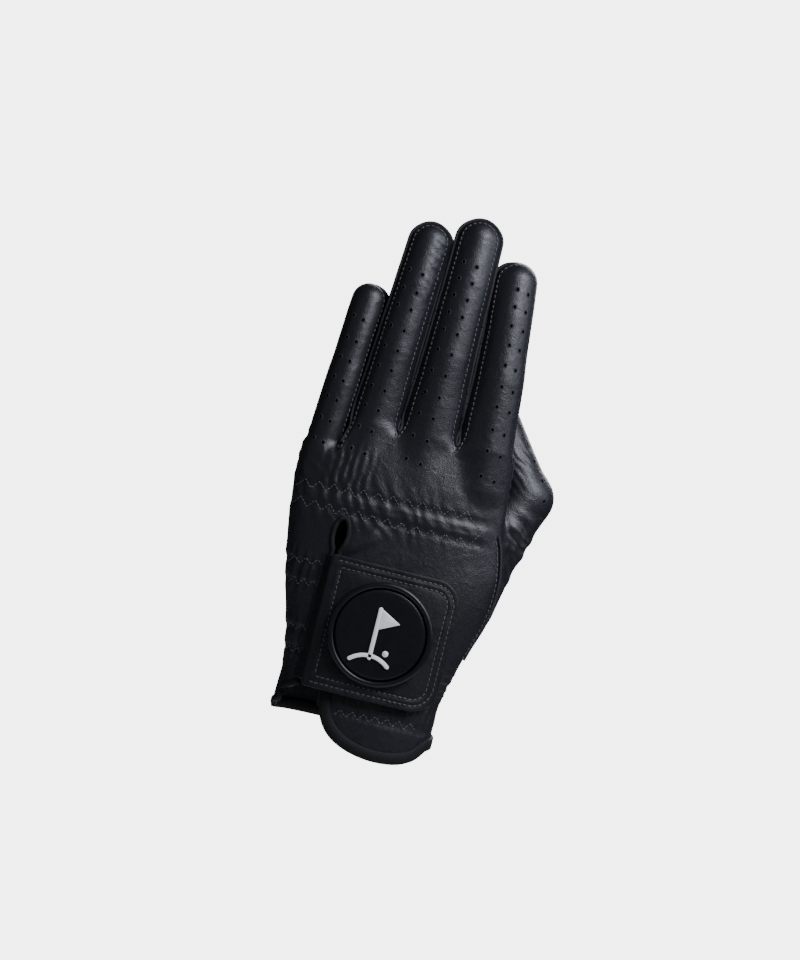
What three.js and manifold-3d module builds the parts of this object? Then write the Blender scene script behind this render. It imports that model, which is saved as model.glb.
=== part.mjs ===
// A left-hand golf glove of thin leather, as it stands filled by a hand, in millimetres with +Z up along the
// fingers. +X is the thumb side, -Y is the back of the hand and +Y the palm. The origin is under the middle of
// the wrist opening, level with the lowest point of the hem.
// Leather, elastic, tape and hook-and-loop are separate solids that lie face to face with a small gap.
import * as THREE from 'three';
import { mergeVertices } from 'three/addons/utils/BufferGeometryUtils.js';
import Module from 'manifold-3d';

const wasm = await Module();
wasm.setup();

// ---- Driving dimensions -----------------------------------------------------------------------------

const WALL = 1.2; // leather with its seam allowances
const GAP = 0.3; // between pieces that touch
const ROUND = 18; // facets round a finger
const SMOOTHING = 0.04; // how far a face may move when small facets are merged
const FAR = 80; // half length of a cutting prism

// The hand: height, left edge, right edge, back, palm. Cross-sections are superellipses on those extremes.
const HAND_SECTIONS = [
  [0, -31.5, 32.2, -17, 20],
  [12, -31.5, 32.2, -17, 20],
  [28, -31, 32, -16.5, 19.5],
  [36, -31.8, 34, -16.3, 19.5],
  [48, -35, 37.2, -16, 20],
  [60, -38.2, 41, -15.8, 21],
  [78, -41.8, 42.8, -14.5, 21],
  [90, -43.5, 41, -13.5, 18],
  [100, -44.2, 39.8, -12.5, 15.5],
  [116, -44, 38.6, -11, 12.5],
  [127, -43.4, 37.3, -10, 11],
];
const HAND_SQUARENESS = 2.5; // exponent of the superellipse
const HAND_SEGMENTS = 44;
const HAND_RINGS = 12;

// Fingers: x and z of the crotch line and of the fingertip's centre, the two joints' heights, and the radii.
const FINGERS = {
  index: { base: [26.2, 127], tip: [21.6, 193.8], pip: 154.5, dip: 178.5, radii: [10.2, 8.4], gussets: [-1] },
  middle: { base: [2.4, 127], tip: [3.6, 206.3], pip: 159, dip: 188, radii: [10.0, 8.2], gussets: [-1, 1] },
  ring: { base: [-19.4, 127], tip: [-15, 201], pip: 156, dip: 183.5, radii: [8.7, 7.6], gussets: [-1, 1] },
  little: { base: [-36.6, 115], tip: [-32.7, 173.3], pip: 138.5, dip: 159, radii: [6.9, 6.9], gussets: [1] },
};
const FINGER_CURL = [0, 1.2, 3.5, 6]; // how far the crotch, the two joints and the tip lie to the palm side
const MIDDLE_JOINT_TURN = 80; // degrees that a finger's middle joint bends at most
const END_JOINT_TURN = 40; // degrees that its end joint bends with it
const THUMB_BEND = 25; // degrees that the thumb's tip bends further in
const THUMB_OPEN = 40; // degrees that it straightens
const THUMB_CLEARANCE = 1.8; // from the palm to the thumb's tip sleeve, so that it can bend past
const NOTCH_SPARE = 4; // degrees of clearance in each joint's palm-side notch
const FINGER_STUB = 16; // how far a finger reaches into the hand
const GUSSET_HALF = 3.6; // half the width of the side strip between finger back and finger front
const GUSSET_END = 2.4; // from the strip's end to the end of its sleeve

const THUMB = {
  root: [28, 10, 70],
  knuckle: [46, 19, 113],
  tip: [29.5, 22.5, 138.5],
  radii: [15.5, 10.5, 8.4],
};

// The slit on the back, its keyhole and the closing tab.
const SLIT_LEFT = -22.3;
const SLIT_TOP = 76;
const SLIT_BOTTOM_WIDTH = 8.5;
const KEYHOLE = { x: -21.2, z: 82, halfWidth: 2.4, halfHeight: 6 };
const TAPE_WIDTH = 1.7;
const TAB = { left: SLIT_LEFT, right: 30, bottom: 22.5, top: 74.5, corner: 10 };
const BADGE = { x: 3, z: 48.5, rim: 20.2, disc: 17.6, groove: 0.4, height: 2.6, sunk: 0.7 };
const MOTIF_STROKE = 1.6;

// Layers over the back of the hand, as distances out from the leather's outer face.
const LAYERS = { loop: [0.3, 1.1], hook: [1.4, 2.2], lining: [2.5, 3.2], tab: [3.5, 4.4] };

// The hem of the back's lower piece, from the slit round to the thumb side, and the hem of the left strip.
const HEM_BACK = [[-14, 24], [-12.6, 14], [-8, 6.5], [0, 2], [11, 0], [22, 1.2], [30, 6], [34, 12]];
const HEM_STRIP = [[-36, 15.2], [-30, 17.8], [-26, 20.6], [-20, 22.4]];
const HEM_PALM = 10;
const HEM_TAPE = 4.4;
const STRIP_TAPE = 2.2;

// ---- Solids -----------------------------------------------------------------------------------------

// A closed three.js geometry, placed by a matrix, as a manifold-3d solid.
function solid(geometry, matrix) {
  const placed = geometry.clone();
  placed.deleteAttribute('normal');
  placed.deleteAttribute('uv');
  if (matrix) placed.applyMatrix4(matrix);
  const merged = mergeVertices(placed, 1e-4);
  return new wasm.Manifold(new wasm.Mesh({
    numProp: 3,
    vertProperties: new Float32Array(merged.attributes.position.array),
    triVerts: new Uint32Array(merged.index.array),
  }));
}

function geometryOf(manifold) {
  const mesh = manifold.getMesh();
  const points = new Float32Array(mesh.numVert * 3);
  for (let i = 0; i < mesh.numVert; i++) {
    points.set(mesh.vertProperties.subarray(i * mesh.numProp, i * mesh.numProp + 3), i * 3);
  }
  const geometry = new THREE.BufferGeometry();
  geometry.setAttribute('position', new THREE.BufferAttribute(points, 3));
  geometry.setIndex(new THREE.BufferAttribute(new Uint32Array(mesh.triVerts), 1));
  geometry.computeVertexNormals();
  return geometry;
}

const joined = (solids) => solids.reduce((a, b) => a.add(b));

// A drawing in x and z, as a prism that runs from y = from to y = to.
function prism(shape, from = -FAR, to = 0) {
  const options = { depth: to - from, bevelEnabled: false, curveSegments: 8 };
  const geometry = new THREE.ExtrudeGeometry(shape, options);
  // Extrusions run along +Z: turn the drawing upright, so that its second axis is z.
  return solid(geometry, new THREE.Matrix4().makeRotationX(Math.PI / 2).setPosition(0, to, 0));
}

function rectangle(left, right, bottom, top) {
  const points = [[left, bottom], [right, bottom], [right, top], [left, top]];
  return new THREE.Shape(points.map(([x, z]) => new THREE.Vector2(x, z)));
}

function roundedRectangle(left, right, bottom, top, corner) {
  const shape = new THREE.Shape();
  shape.moveTo(left, bottom);
  shape.lineTo(right - corner, bottom);
  shape.absarc(right - corner, bottom + corner, corner, -Math.PI / 2, 0);
  shape.lineTo(right, top - corner);
  shape.absarc(right - corner, top - corner, corner, 0, Math.PI / 2);
  shape.lineTo(left, top);
  shape.closePath();
  return shape;
}

const box = (x0, x1, y0, y1, z0, z1) => solid(new THREE.BoxGeometry(x1 - x0, y1 - y0, z1 - z0),
  new THREE.Matrix4().makeTranslation((x0 + x1) / 2, (y0 + y1) / 2, (z0 + z1) / 2));

// ---- The hand's body --------------------------------------------------------------------------------

const sectionCurve = new THREE.CatmullRomCurve3(
  HAND_SECTIONS.map(([z, left, right]) => new THREE.Vector3(left, right, z)), false, 'centripetal');
const depthCurve = new THREE.CatmullRomCurve3(
  HAND_SECTIONS.map(([z, , , back, palm]) => new THREE.Vector3(back, palm, z)), false, 'centripetal');

// Reads a curve of sections at a height, by halving: z grows along both curves.
function atHeight(curve, z) {
  let low = 0;
  let high = 1;
  for (let i = 0; i < 24; i++) {
    const middle = (low + high) / 2;
    if (curve.getPoint(middle).z < z) low = middle;
    else high = middle;
  }
  return curve.getPoint(low);
}

const power = (value) => Math.sign(value) * Math.abs(value) ** (2 / HAND_SQUARENESS);

// The hand's surface moved out by grow: a cylinder whose rings take the hand's cross-sections.
function hand(grow) {
  const bottom = HAND_SECTIONS[0][0];
  const top = HAND_SECTIONS[HAND_SECTIONS.length - 1][0];
  const geometry = new THREE.CylinderGeometry(1, 1, top - bottom, HAND_SEGMENTS, HAND_RINGS);
  const position = geometry.attributes.position;
  for (let i = 0; i < position.count; i++) {
    const z = THREE.MathUtils.clamp(position.getY(i) + (top + bottom) / 2, bottom, top);
    const radius = Math.hypot(position.getX(i), position.getZ(i));
    const angle = Math.atan2(position.getZ(i), position.getX(i));
    const wide = atHeight(sectionCurve, z);
    const deep = atHeight(depthCurve, z);
    const centre = (wide.x + wide.y) / 2;
    const halfWidth = (wide.y - wide.x) / 2 + grow;
    const depth = (Math.sin(angle) < 0 ? -deep.x : deep.y) + grow;
    position.setXYZ(i,
      centre + radius * halfWidth * power(Math.cos(angle)),
      radius * depth * power(Math.sin(angle)),
      z);
  }
  // The cylinder's own axis was +Y, so swapping y for z has turned its faces round.
  const made = geometry.toNonIndexed();
  const p = made.attributes.position;
  for (let i = 0; i < p.count; i += 3) {
    const [x, y, z] = [p.getX(i), p.getY(i), p.getZ(i)];
    p.setXYZ(i, p.getX(i + 1), p.getY(i + 1), p.getZ(i + 1));
    p.setXYZ(i + 1, x, y, z);
  }
  return solid(made);
}

const layer = (from, to) => hand(to).subtract(hand(from));

// The hand reaches the finger crotches, which lie lower beside the little finger.
const { little, ring } = FINGERS;
const littleCrotchX = (little.base[0] + little.radii[0] + ring.base[0] - ring.radii[0]) / 2;
const belowCrotches = (drop, side) => joined([
  box(-FAR, FAR, -FAR, FAR, -1, little.base[1] - drop),
  box(littleCrotchX + side, FAR, -FAR, FAR, -1, ring.base[1] - 0.5 - drop),
]);

// ---- Fingers ----------------------------------------------------------------------------------------

// The points of a finger's axis at its crotch, its two joints and its tip's centre.
function fingerAxis({ base, tip, pip, dip }) {
  return [base[1], pip, dip, tip[1]].map((z, i) => {
    const share = (z - base[1]) / (tip[1] - base[1]);
    return new THREE.Vector3(THREE.MathUtils.lerp(base[0], tip[0], share), FINGER_CURL[i], z);
  });
}

// A round tube's solid from one point to another, with both ends domed or the first one flat.
function rod(from, to, startRadius, endRadius, flatStart) {
  const length = from.distanceTo(to);
  const profile = [];
  const quarter = 4;
  if (flatStart) profile.push(new THREE.Vector2(0, 0), new THREE.Vector2(startRadius, 0));
  else {
    for (let i = 0; i <= quarter; i++) {
      const a = -Math.PI / 2 + (Math.PI / 2) * (i / quarter);
      profile.push(new THREE.Vector2(i ? startRadius * Math.cos(a) : 0, startRadius * Math.sin(a)));
    }
  }
  for (let i = 0; i <= quarter; i++) {
    const a = (Math.PI / 2) * (i / quarter);
    const radius = i < quarter ? endRadius * Math.cos(a) : 0;
    profile.push(new THREE.Vector2(radius, length + endRadius * Math.sin(a)));
  }
  const along = to.clone().sub(from).normalize();
  const turn = new THREE.Quaternion().setFromUnitVectors(new THREE.Vector3(0, 1, 0), along);
  return solid(new THREE.LatheGeometry(profile, ROUND),
    new THREE.Matrix4().compose(from, turn, new THREE.Vector3(1, 1, 1)));
}

// The whole finger as one solid, drawn in by inset.
function fingerSolid(finger, inset) {
  const points = fingerAxis(finger);
  const down = points[0].clone().sub(points[1]).normalize();
  const start = points[0].clone().addScaledVector(down, FINGER_STUB);
  const [wide, narrow] = finger.radii.map((r) => r - inset);
  const radiusAt = (z) => THREE.MathUtils.mapLinear(z, points[0].z, points[3].z, wide, narrow);
  return joined([
    rod(start, points[1], wide, radiusAt(points[1].z), true),
    rod(points[1], points[2], radiusAt(points[1].z), radiusAt(points[2].z), false),
    rod(points[2], points[3], radiusAt(points[2].z), narrow, false),
  ]);
}

// A joint's own frame: x along the hinge's line, y to the palm, z along the finger.
function jointFrame(points, at) {
  const across = new THREE.Vector3().subVectors(points[3], points[0]).setY(0).normalize();
  const hinge = new THREE.Vector3(across.z, 0, -across.x);
  const palm = new THREE.Vector3(0, 1, 0);
  return new THREE.Matrix4().makeBasis(hinge, palm, across).setPosition(points[at]);
}

// A drawing in a joint frame's y and z, as a prism along the hinge's line.
function jointPrism(points, frame, halfWidth = 20) {
  const shape = new THREE.Shape(points.map(([y, z]) => new THREE.Vector2(y, z)));
  const geometry = new THREE.ExtrudeGeometry(shape, { depth: 2 * halfWidth, bevelEnabled: false });
  const upright = new THREE.Matrix4().makeBasis(
    new THREE.Vector3(0, 1, 0), new THREE.Vector3(0, 0, 1), new THREE.Vector3(1, 0, 0));
  return solid(geometry, frame.clone().multiply(upright.setPosition(-halfWidth, 0, 0)));
}

const slope = (turn) => Math.tan(THREE.MathUtils.degToRad(turn / 2 + NOTCH_SPARE));
const REACH = 40;

// What lies below a joint's notch, above it, and in it.
const below = (turn, frame) => jointPrism(
  [[-REACH, -GAP / 2], [0, -GAP / 2], [REACH, -GAP / 2 - REACH * slope(turn)], [REACH, -90],
    [-REACH, -90]], frame);
const above = (turn, frame) => jointPrism(
  [[-REACH, GAP / 2], [-REACH, 90], [REACH, 90], [REACH, GAP / 2 + REACH * slope(turn)],
    [0, GAP / 2]], frame);
const notch = (turn, frame) => jointPrism(
  [[1, 0], [REACH, -(REACH - 1) * slope(turn)], [REACH, (REACH - 1) * slope(turn)]], frame);

// The strips of side wall between a finger's back and front, one for each side that has a neighbour.
// A sleeve keeps a whole ring at both ends of its strip.
function splitGussets(sleeve, finger, low, high, names) {
  const points = fingerAxis(finger);
  const frame = jointFrame(points, 0);
  const made = {};
  let rest = sleeve;
  finger.gussets.forEach((side) => {
    const window = (inset) => {
      const [z0, z1] = [low + GUSSET_END + inset - points[0].z, high - GUSSET_END - inset - points[0].z];
      const middle = FINGER_CURL[low > points[0].z + 5 ? 2 : 0] * 0.7;
      const geometry = new THREE.BoxGeometry(20, 2 * (GUSSET_HALF - inset), z1 - z0);
      const place = new THREE.Matrix4().makeTranslation(side * 13.2, middle, (z0 + z1) / 2);
      return solid(geometry, frame.clone().multiply(place));
    };
    made[names(side)] = sleeve.intersect(window(GAP));
    rest = rest.subtract(window(0));
  });
  return { rest, made };
}

// ---- The glove --------------------------------------------------------------------------------------

const glove = new THREE.Group();
const COLOURS = {
  leather: { color: 0x17181c, roughness: 0.5 },
  gusset: { color: 0x141519, roughness: 0.55 },
  tape: { color: 0x0b0b0d, roughness: 0.8 },
  elastic: { color: 0x101012, roughness: 0.9 },
  velcro: { color: 0x0c0c0e, roughness: 1 },
  rubber: { color: 0x0d0f13, roughness: 0.45 },
  white: { color: 0xf2f0ee, roughness: 0.4 },
};

function place(name, manifold, colour) {
  const material = new THREE.MeshStandardMaterial(COLOURS[colour]);
  const mesh = new THREE.Mesh(geometryOf(manifold.simplify(SMOOTHING)), material);
  mesh.name = name;
  glove.add(mesh);
  return mesh;
}

const vector = (p) => new THREE.Vector3(...p);

// The thumb: one tapered sleeve from the palm to its knuckle, and one from there to its tip.
function thumbRods(inset) {
  const [root, knuckle, tip] = [THUMB.root, THUMB.knuckle, THUMB.tip].map(vector);
  const [a, b, c] = THUMB.radii.map((r) => r - inset);
  return { lower: rod(root, knuckle, a, b, false), upper: rod(knuckle, tip, b, c, false) };
}

function makeThumb(handOuter) {
  const outer = thumbRods(0);
  const inner = thumbRods(WALL);
  const shell = outer.lower.add(outer.upper).subtract(inner.lower).subtract(inner.upper).subtract(handOuter);
  const [root, knuckle, tip] = [THUMB.root, THUMB.knuckle, THUMB.tip].map(vector);
  const lowerWay = knuckle.clone().sub(root).normalize();
  const upperWay = tip.clone().sub(knuckle).normalize();
  const inward = upperWay.clone().sub(lowerWay).normalize();
  const along = upperWay.clone().add(lowerWay).normalize();
  const hinge = inward.clone().cross(along);
  const frame = new THREE.Matrix4().makeBasis(hinge, inward, along).setPosition(knuckle);
  const [bend, open] = [slope(THUMB_BEND), slope(THUMB_OPEN)].map((s) => s * REACH);
  const half = 1 + GAP;
  const lower = shell.intersect(jointPrism(
    [[-REACH, -half - open], [0, -half], [REACH, -half - bend], [REACH, -90], [-REACH, -90]], frame));
  const upper = shell.subtract(hand(THUMB_CLEARANCE)).intersect(jointPrism(
    [[-REACH, half + open], [-REACH, 90], [REACH, 90], [REACH, half + bend], [0, half]], frame));
  const crease = shell.intersect(jointPrism(
    [[-REACH, -1 - open], [0, -1], [REACH, -1 - bend], [REACH, 1 + bend], [0, 1], [-REACH, 1 + open]], frame));
  place('thumb_lower_sleeve', largest(lower), 'leather');
  place('thumb_tip_sleeve', largest(upper), 'leather');
  place('thumb_knuckle_crease', largest(crease), 'leather');
  return { outer, inner };
}

// Cutting a sleeve by its neighbour can leave slivers inside: only the sleeve itself is kept.
const largest = (manifold) => manifold.decompose().sort((a, b) => b.volume() - a.volume())[0];

function makeFinger(name, finger) {
  const points = fingerAxis(finger);
  const shell = fingerSolid(finger, 0).subtract(fingerSolid(finger, WALL));
  const middleJoint = jointFrame(points, 1);
  const endJoint = jointFrame(points, 2);
  const cut = {
    base: shell.intersect(below(MIDDLE_JOINT_TURN, middleJoint)).subtract(belowCrotches(-GAP, -GAP)),
    middle: shell.intersect(above(MIDDLE_JOINT_TURN, middleJoint)).intersect(below(END_JOINT_TURN, endJoint)),
    tip: shell.intersect(above(END_JOINT_TURN, endJoint)),
  };
  const spans = { base: [finger.base[1] + GAP, finger.pip - 4.5], middle: [finger.pip + 4.5, finger.dip - 2] };
  for (const part of ['base', 'middle']) {
    const names = (side) => `${name}_${part}_gusset_${side < 0 ? 'outer' : 'inner'}`;
    const { rest, made } = splitGussets(cut[part], finger, ...spans[part], names);
    place(`${name}_${part}_sleeve`, largest(rest), 'leather');
    for (const [gusset, strip] of Object.entries(made)) place(gusset, largest(strip), 'gusset');
  }
  place(`${name}_tip_sleeve`, largest(cut.tip), 'leather');
  place(`${name}_middle_crease`, largest(shell.intersect(notch(MIDDLE_JOINT_TURN, middleJoint))), 'leather');
  place(`${name}_end_crease`, largest(shell.intersect(notch(END_JOINT_TURN, endJoint))), 'leather');
}

const smoothShape = (points) =>
  new THREE.SplineCurve(points.map(([x, z]) => new THREE.Vector2(x, z))).getPoints(20);

// The region above a hem's line, moved up by raise.
function aboveHem(points, raise, right) {
  const line = smoothShape(points).map((p) => new THREE.Vector2(p.x, p.y + raise));
  const shape = new THREE.Shape([...line, new THREE.Vector2(right, FAR * 3), new THREE.Vector2(line[0].x, FAR * 3)]);
  return shape;
}

// The slit with its keyhole, made wider all round by grow.
function slitShape(grow) {
  const shape = new THREE.Shape();
  const bottom = -5;
  shape.moveTo(SLIT_LEFT - grow, bottom);
  shape.lineTo(SLIT_LEFT + SLIT_BOTTOM_WIDTH + 1.5 + grow, bottom);
  shape.lineTo(SLIT_LEFT + 1.8 + grow, SLIT_TOP);
  shape.lineTo(SLIT_LEFT - grow, SLIT_TOP);
  return shape;
}

function slitPrism(grow, from, to) {
  const keyhole = new THREE.Shape();
  keyhole.absellipse(KEYHOLE.x, KEYHOLE.z, KEYHOLE.halfWidth + grow, KEYHOLE.halfHeight + grow, 0, 2 * Math.PI);
  return prism(slitShape(grow), from, to).add(prism(keyhole, from, to));
}

function makeHand() {
  const outers = Object.values(FINGERS).map((f) => fingerSolid(f, 0));
  const inners = Object.values(FINGERS).map((f) => fingerSolid(f, WALL));
  const thumb = makeThumb(hand(GAP).add(joined(outers)));
  const whole = hand(0).intersect(belowCrotches(0, 0)).add(joined(outers).intersect(belowCrotches(0, 0)));
  const hollow = hand(-WALL).intersect(belowCrotches(WALL, WALL)).add(joined(inners));
  const open = box(-FAR, FAR, -FAR, FAR, -5, 1).intersect(hand(-WALL));
  const shell = whole.subtract(hollow).subtract(open);

  const backHalf = box(-FAR, FAR, -FAR, -GAP / 2, -1, 140);
  const palmHalf = box(-FAR, FAR, GAP / 2, FAR, -1, 140);
  const thick = hand(0.5).subtract(hand(-WALL - 0.9));

  // The back: a strip left of the slit and a lower piece right of it, each with its own hem.
  const right = (raise) => prism(aboveHem(HEM_BACK, raise, 60));
  const left = (raise) => prism(aboveHem(HEM_STRIP, raise, -18));
  const leftSide = box(-60, SLIT_LEFT, -FAR, 0, -1, SLIT_TOP);
  const rightSide = box(SLIT_LEFT, 60, -FAR, 0, -1, SLIT_TOP);
  const upperBack = box(-60, 60, -FAR, 0, SLIT_TOP - 0.1, 140);
  const backRegion = (raiseRight, raiseLeft) => joined([
    rightSide.intersect(right(raiseRight)), leftSide.intersect(left(raiseLeft)), upperBack,
  ]);
  const tapeGap = TAPE_WIDTH + GAP;
  const back = shell.intersect(backHalf)
    .intersect(backRegion(HEM_TAPE + GAP, STRIP_TAPE + GAP))
    .subtract(slitPrism(tapeGap, -FAR, 0));
  place('back_panel', largest(back), 'leather');

  const palm = shell.intersect(palmHalf).intersect(box(-FAR, FAR, 0, FAR, HEM_PALM + HEM_TAPE + GAP, 140))
    .subtract(thumb.inner.lower);
  place('palm_panel', largest(palm), 'leather');

  // Tape over the raw edges: round the slit, along both hems of the back and along the palm's hem.
  const backThick = thick.intersect(box(-FAR, FAR, -FAR, -GAP / 2, -1, 140));
  const slitTape = backThick.intersect(slitPrism(TAPE_WIDTH, -FAR, 0)).subtract(slitPrism(0, -FAR, 0))
    .intersect(backRegion(HEM_TAPE + GAP, STRIP_TAPE + GAP));
  place('slit_binding', largest(slitTape), 'tape');
  const rightHem = backThick.intersect(rightSide).intersect(right(0)).subtract(right(HEM_TAPE))
    .subtract(slitPrism(0, -FAR, 0));
  place('back_hem_binding', largest(rightHem), 'tape');
  const leftHem = backThick.intersect(leftSide).intersect(left(0)).subtract(left(STRIP_TAPE));
  place('strip_hem_binding', largest(leftHem), 'tape');
  const palmHem = thick.intersect(box(-FAR, FAR, GAP / 2, FAR, HEM_PALM, HEM_PALM + HEM_TAPE));
  place('palm_hem_binding', largest(palmHem), 'tape');
  makeElastics();
}

// Elastic bands sewn to the inside of the leather.
function makeElastics() {
  const inside = layer(-WALL - 1.1, -WALL - GAP);
  const bands = {
    knuckle_elastic: [-41, 29.5, 91.5, 99.5],
    strip_elastic_upper: [-38, -25.5, 60, 69],
    strip_elastic_lower: [-33.5, -25.5, 34, 43.5],
    cuff_elastic: [-7, 29, 12.5, 19.5],
  };
  for (const [name, edges] of Object.entries(bands)) {
    place(name, largest(inside.intersect(prism(rectangle(...edges), -FAR, -2))), 'elastic');
  }
  const palmBand = inside.intersect(prism(rectangle(-24, 24, 26, 34), 4, FAR));
  place('palm_elastic', largest(palmBand), 'elastic');
}

// Piping along the seam that joins back to palm on the thumb side.
function makeSeamPiping() {
  const heights = [56, 64, 72, 80, 88];
  const points = heights.map((z) => {
    const wide = atHeight(sectionCurve, z);
    return new THREE.Vector3(wide.y + 1.15, -2.4, z);
  });
  const section = new THREE.Shape();
  section.absarc(0, 0, 0.7, 0, 2 * Math.PI);
  const geometry = new THREE.ExtrudeGeometry(section,
    { steps: 16, curveSegments: 6, extrudePath: new THREE.CatmullRomCurve3(points) });
  place('side_seam_piping', solid(geometry).subtract(hand(GAP)), 'leather');
}

// The closing tab: two layers of leather, a hook pad under it and the loop pad that it grips.
function makeTab() {
  const outline = (inset) => roundedRectangle(
    TAB.left + inset, TAB.right - inset, TAB.bottom + inset, TAB.top - inset, TAB.corner - inset);
  const over = (name, [from, to], shape, colour) => place(name,
    largest(layer(from, to).intersect(prism(shape, -FAR, -2))), colour);
  over('loop_pad', LAYERS.loop, rectangle(-8, 22, 30, 67), 'velcro');
  over('hook_pad', LAYERS.hook, rectangle(-4, 24, 32, 65), 'velcro');
  over('tab_lining', LAYERS.lining, outline(0.8), 'leather');
  over('tab_leather', LAYERS.tab, outline(0), 'leather');
}

// A round moulded badge: a rim, a disc sunk inside it, and a raised flag on the disc.
function badgeFace() {
  return -Math.abs(atHeight(depthCurve, BADGE.z).x) - LAYERS.tab[1] - BADGE.height;
}

function turned(profile) {
  const lathe = new THREE.LatheGeometry(profile.map(([r, y]) => new THREE.Vector2(r, y)), 48);
  // A lathe turns about +Y: here that is the way out of the badge's front once it is flipped to -Y.
  return solid(lathe, new THREE.Matrix4().makeRotationX(Math.PI).setPosition(BADGE.x, badgeFace(), BADGE.z));
}

function makeBadge() {
  const under = hand(LAYERS.tab[1] + GAP);
  const deep = -12;
  const bore = BADGE.disc + BADGE.groove;
  const rim = turned([[bore, deep], [BADGE.rim, deep], [BADGE.rim, -0.4], [BADGE.rim - 0.4, 0],
    [bore + 0.3, 0], [bore, -0.3], [bore, deep]]);
  place('badge_rim', largest(rim.subtract(under)), 'rubber');
  const disc = turned([[0, deep], [BADGE.disc, deep], [BADGE.disc, -BADGE.sunk], [0, -BADGE.sunk]]);
  place('badge_disc', largest(disc.subtract(under)), 'rubber');
  const front = badgeFace() + BADGE.sunk - GAP;
  const raised = (shape) => prism(shape, front - 0.35, front);
  place('badge_flag', raised(flagShape()).add(raised(greenShape())), 'white');
}

// A golf flag on its pin, leaning as the tab does, and the arc of the green under it.
function flagShape() {
  const w = MOTIF_STROKE / 2;
  const outline = [[-w, -9], [w, -9], [w, 1.6], [9, 5.6], [w, 10], [-w, 10]];
  return new THREE.Shape(outline.map(([x, z]) => new THREE.Vector2(BADGE.x - 2 + x, BADGE.z + z)));
}

function greenShape() {
  const shape = new THREE.Shape();
  const [x, z] = [BADGE.x - 2, BADGE.z - 19];
  shape.absarc(x, z, 11.2, 0.9, Math.PI - 0.9, false);
  shape.absarc(x, z, 11.2 - MOTIF_STROKE, Math.PI - 0.9, 0.9, true);
  shape.closePath();
  return shape;
}

makeHand();
makeSeamPiping();
makeTab();
makeBadge();
for (const [name, finger] of Object.entries(FINGERS)) makeFinger(name, finger);

export default glove;
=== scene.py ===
"""A left-hand golf glove in black leather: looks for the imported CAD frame, in millimetres until made()."""
import math

import bpy
import numpy as np
from mathutils import Matrix, Vector


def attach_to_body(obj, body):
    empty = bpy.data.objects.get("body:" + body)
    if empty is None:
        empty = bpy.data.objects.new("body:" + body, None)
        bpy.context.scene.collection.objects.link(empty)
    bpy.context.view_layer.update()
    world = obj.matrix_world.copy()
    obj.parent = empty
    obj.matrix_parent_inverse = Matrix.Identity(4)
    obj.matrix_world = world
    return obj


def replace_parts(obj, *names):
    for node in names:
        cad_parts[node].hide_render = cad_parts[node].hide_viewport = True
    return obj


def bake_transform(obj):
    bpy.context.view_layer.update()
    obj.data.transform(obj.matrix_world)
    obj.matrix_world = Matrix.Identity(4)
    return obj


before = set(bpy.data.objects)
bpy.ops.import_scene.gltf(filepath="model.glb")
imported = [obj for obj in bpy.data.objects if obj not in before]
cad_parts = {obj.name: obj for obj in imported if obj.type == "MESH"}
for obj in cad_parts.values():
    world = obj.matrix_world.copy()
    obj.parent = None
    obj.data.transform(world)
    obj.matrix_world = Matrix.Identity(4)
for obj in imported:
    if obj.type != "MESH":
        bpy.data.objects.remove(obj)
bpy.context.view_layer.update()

V = np.array
STEP = 0.72  # mesh size of the leather

# ---- Shape of the filled glove -----------------------------------------------------------------------

HAND = V([  # z, left, right, back, palm
    [-12, -31.5, 32.2, -17, 20], [12, -31.5, 32.2, -17, 20], [28, -31, 32, -16.5, 19.5],
    [36, -31.8, 34, -16.3, 19.5],
    [48, -35, 37.2, -16, 20], [60, -38.2, 41, -15.8, 21], [78, -41.8, 42.8, -14.5, 21],
    [90, -43.5, 41, -13.5, 18],
    [100, -44.2, 39.8, -12.5, 15.5], [108, -44.1, 39, -11.6, 13.6], [118, -43.9, 38, -9.2, 10.8],
    [127, -43.4, 37.2, -6.8, 8.4], [135, -43.0, 36.3, -6, 7.5]], float)
FINGERS = {  # crotch, middle joint, end joint and tip centre as x, y, z, then a radius for each
    "index": ([26.2, 0, 127], [24.3, 1.2, 154.5], [22.7, 3.5, 178.5], [21.6, 6, 193.8],
              [10.2, 9.6, 8.8, 8.4]),
    "middle": ([2.4, 0, 127], [2.9, 1.2, 159], [3.3, 3.5, 188], [3.6, 6, 206.3], [10.0, 9.6, 8.8, 8.2]),
    "ring": ([-19.4, 0, 127], [-17.7, 1.2, 156], [-16.0, 3.5, 183.5], [-15, 6, 201], [8.9, 8.6, 8.1, 7.7]),
    "little": ([-36.6, 0, 115], [-35.0, 1.2, 138.5], [-33.7, 3.5, 159], [-32.7, 6, 173.3],
               [7.0, 7.1, 7.0, 6.9]),
}
THUMB = ([28, 10, 70], [46, 19, 113], [29.5, 22.5, 138.5], [15.5, 10.5, 8.4])
FULL_SIDES = {  # how far a finger's side strip bulges to its neighbour, at the crotch and at the tip
    "index": {-1: (1.85, 0.85)}, "middle": {1: (1.75, 0.85), -1: (1.5, 1.1)},
    "ring": {1: (1.5, 1.1), -1: (0.6, 0.5)}, "little": {1: (0.6, 0.5)}}
ZONE = {"index": (9.5, 8.5), "middle": (10, 9), "ring": (9.5, 8.5),
        "little": (8, 7)}  # half of each bending stretch
THUMB_ZONE = 7.5
BASE_CUT = 12.0  # from a middle joint down to where the finger's first piece begins


def smin(a, b, k):
    h = np.clip(0.5 + 0.5 * (b - a) / k, 0, 1)
    return b + (a - b) * h - k * h * (1 - h)


def smooth(a, b, x):
    t = np.clip((x - a) / (b - a), 0, 1)
    return t * t * (3 - 2 * t)


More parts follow.
